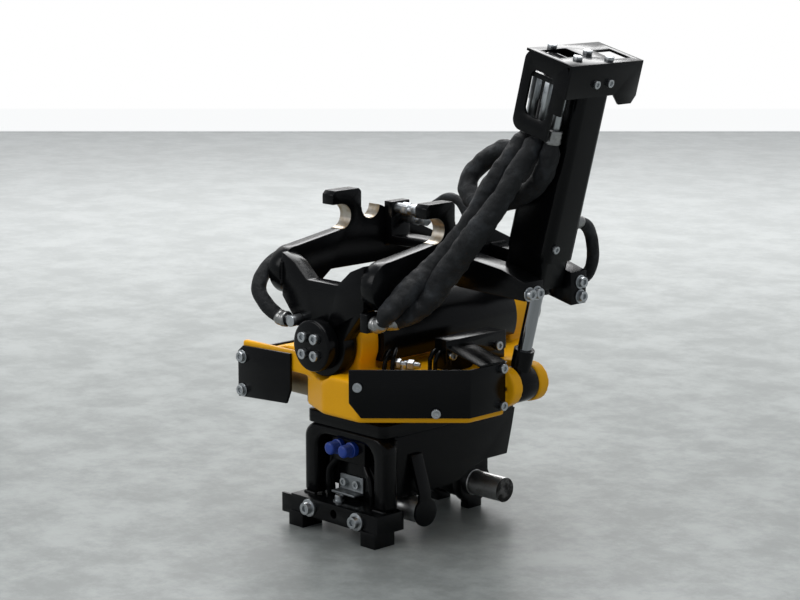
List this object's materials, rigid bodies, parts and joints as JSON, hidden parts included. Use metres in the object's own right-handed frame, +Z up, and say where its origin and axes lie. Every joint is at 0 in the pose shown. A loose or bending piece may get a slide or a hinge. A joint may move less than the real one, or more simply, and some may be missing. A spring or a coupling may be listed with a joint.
{
  "type": "excavator tilt rotator",
  "caption": "Excavator tilt rotator: tool hitch with pins that slews under a tilting bracket with hook plates, driven by a worm gear and one side cylinder.",
  "frame": {"origin": "on the floor, at the middle of the outer box seen from above", "axes": "+Z up along the slew axis, +X toward the tilt cylinder, -Y to the front with the end cap"},
  "size_m": [0.563, 0.496, 0.772],
  "materials": {
    "black_paint": "satin black paint",
    "yellow_paint": "satin yellow paint on a casting",
    "steel": "machined steel",
    "zinc": "zinc plated",
    "chrome": "hard chrome",
    "bronze": "bearing bronze",
    "motor_iron": "yellow chromated casting",
    "blue_plastic": "moulded dust caps",
    "rubber": "black hose cover and sleeve"
  },
  "bodies": {
    "hitch": {"hitch_side_plates": "black_paint", "hitch_deck": "black_paint", "hitch_shield": "black_paint", "hitch_webs": "black_paint", "front_bar": "black_paint", "bar_bolts": "steel", "front_pin": "steel", "pin_keepers": "black_paint", "lock_cylinder": "black_paint", "coupling_block": "black_paint", "blue_couplings": "blue_plastic", "zinc_bracket": "zinc", "bracket_bolts": "zinc", "rotor": "black_paint", "worm_wheel": "bronze"},
    "lock_right": {"lock_pin_right": "steel"},
    "lock_left": {"lock_pin_left": "steel"},
    "house": {"gear_house": "yellow_paint", "tilt_bushes": "bronze", "lug_pin": "steel", "motor": "motor_iron", "motor_fittings": "zinc", "motor_guard": "black_paint", "guard_screws": "zinc", "valve_block": "black_paint", "side_cover": "black_paint", "upper_cover": "black_paint", "cover_screws": "zinc", "tube_cover": "black_paint"},
    "worm": {"worm_shaft": "steel"},
    "bracket": {"hook_plate_right": "black_paint", "hook_plate_left": "black_paint", "front_plate": "black_paint", "rear_plate": "black_paint", "tilt_shaft": "steel", "end_caps": "black_paint", "cap_screws": "zinc", "column_arms": "black_paint", "arm_screws": "zinc", "hose_bridge": "black_paint", "quick_couplings": "zinc", "column_guard": "black_paint", "column_head": "black_paint", "head_bolts": "zinc", "column_couplings": "zinc", "hose_fittings": "zinc", "hose_ports": "black_paint", "hose_main": "rubber", "hose_second": "rubber", "hose_loop": "rubber", "hose_rear": "rubber", "hose_front": "rubber", "hose_cross": "rubber"},
    "rod": {"piston_rod": "chrome", "rod_eye": "black_paint"},
    "barrel": {"barrel": "black_paint"}
  },
  "joints": [
    {"name": "slew", "type": "hinge", "parent": "hitch", "child": "house", "pos_m": [-0.08953, 0, 0.205], "axis": [0, 0, 1], "continuous": true},
    {"name": "tilt", "type": "hinge", "parent": "house", "child": "bracket", "pos_m": [-0.08953, 0, 0.309], "axis": [0, 1, 0], "range_deg": [-25, 25]},
    {"name": "rod_pivot", "type": "hinge", "parent": "house", "child": "rod", "pos_m": [0.11547, 0, 0.246], "axis": [0, 1, 0], "range_deg": [-25.1, 25.1]},
    {"name": "barrel_slide", "type": "slide", "parent": "rod", "child": "barrel", "axis": [0.2504, 0, 0.9681], "range_m": [-0.0907, 0.0907]},
    {"name": "worm_spin", "type": "hinge", "parent": "house", "child": "worm", "pos_m": [-0.08953, -0.165, 0.232], "axis": [1, 0, 0], "continuous": true},
    {"name": "lock_right_slide", "type": "slide", "parent": "hitch", "child": "lock_right", "axis": [-1, 0, 0], "range_m": [0, 0.024]},
    {"name": "lock_left_slide", "type": "slide", "parent": "hitch", "child": "lock_left", "axis": [1, 0, 0], "range_m": [0, 0.024]}
  ],
  "couplings": [
    {"joint": "rod_pivot", "follows": "tilt", "ratio": 1},
    {"joint": "barrel_slide", "follows": "tilt", "m_per_rad": -0.2075},
    {"joint": "worm_spin", "follows": "slew", "ratio": 48},
    {"joint": "lock_left_slide", "follows": "lock_right_slide", "ratio": 1}
  ]
}
